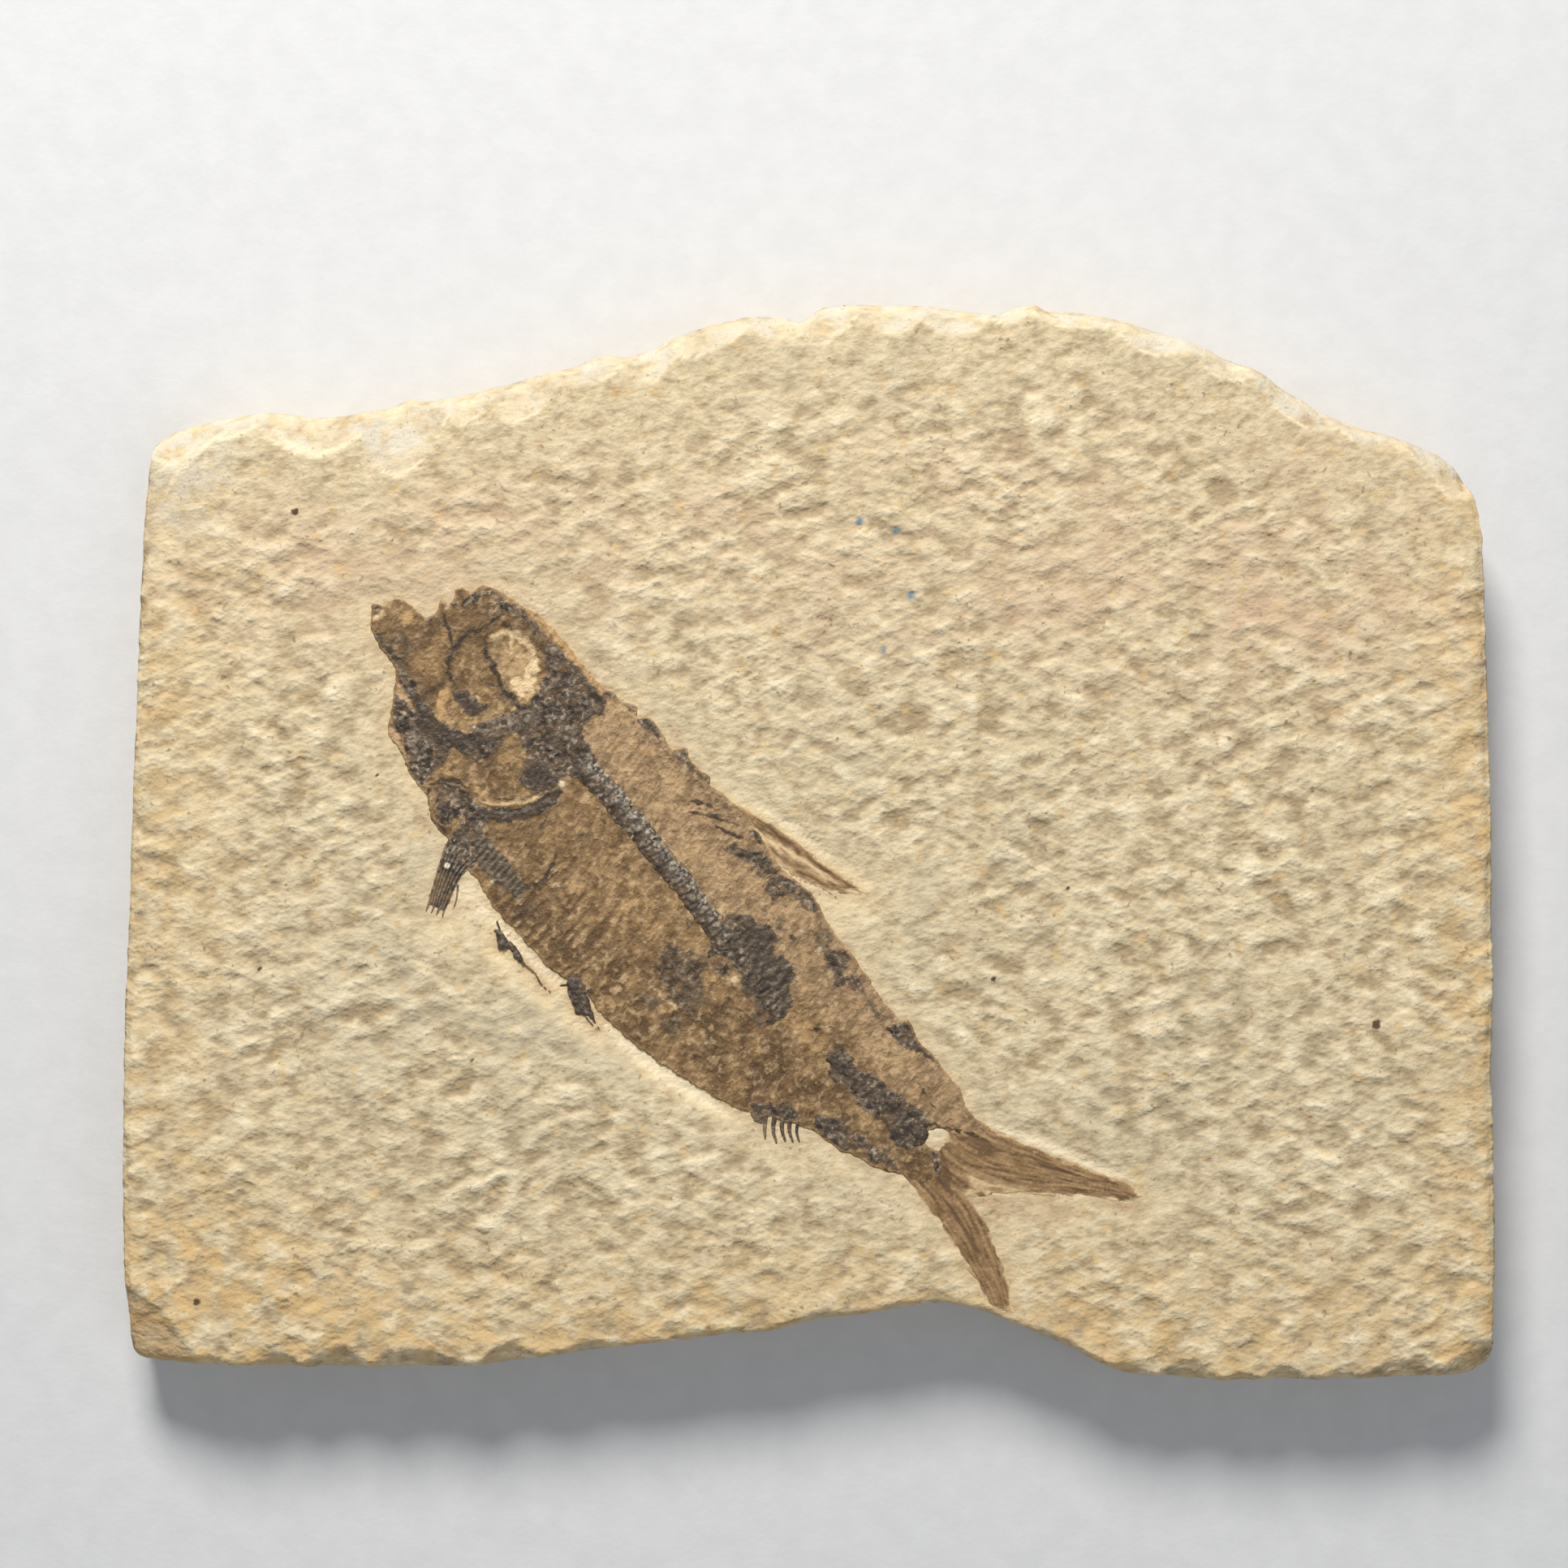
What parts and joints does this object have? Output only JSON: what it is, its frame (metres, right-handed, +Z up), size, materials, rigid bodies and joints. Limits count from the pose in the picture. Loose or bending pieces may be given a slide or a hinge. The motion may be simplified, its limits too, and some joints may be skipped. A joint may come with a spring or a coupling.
{
  "type": "fossil fish slab",
  "caption": "Broken plate of pale limestone with an arched long edge, carrying a small flattened fossil fish that lies diagonally across its split face.",
  "frame": {"origin": "centre of the slab's footprint, on the surface that its flat back lies on", "axes": "+X along the long straight edge, towards the end that the fish's tail points to; +Y towards the arched long edge; +Z up, out of the fossil face"},
  "size_m": [0.1304, 0.1024, 0.0097],
  "materials": {
    "limestone": "matt, rough split face with a fine bumpy grain, cream with tan and golden patches",
    "scale_film": "brown film of fossil skin and scales, slightly waxy",
    "dark_bone": "dark grey-brown fossil bone with pale grains, slightly waxy",
    "fin_ray": "brown ribbed fin rays, matt"
  },
  "bodies": {
    "root": {"stone_slab": "limestone", "fish_body": "scale_film", "backbone_front": "dark_bone", "backbone_rear": "dark_bone", "dorsal_fin": "fin_ray", "pectoral_fin": "dark_bone", "anal_fin": "dark_bone", "tail_upper_lobe": "fin_ray", "tail_lower_lobe": "fin_ray", "belly_scute_front": "dark_bone", "belly_scute_rear": "dark_bone"}
  },
  "joints": []
}
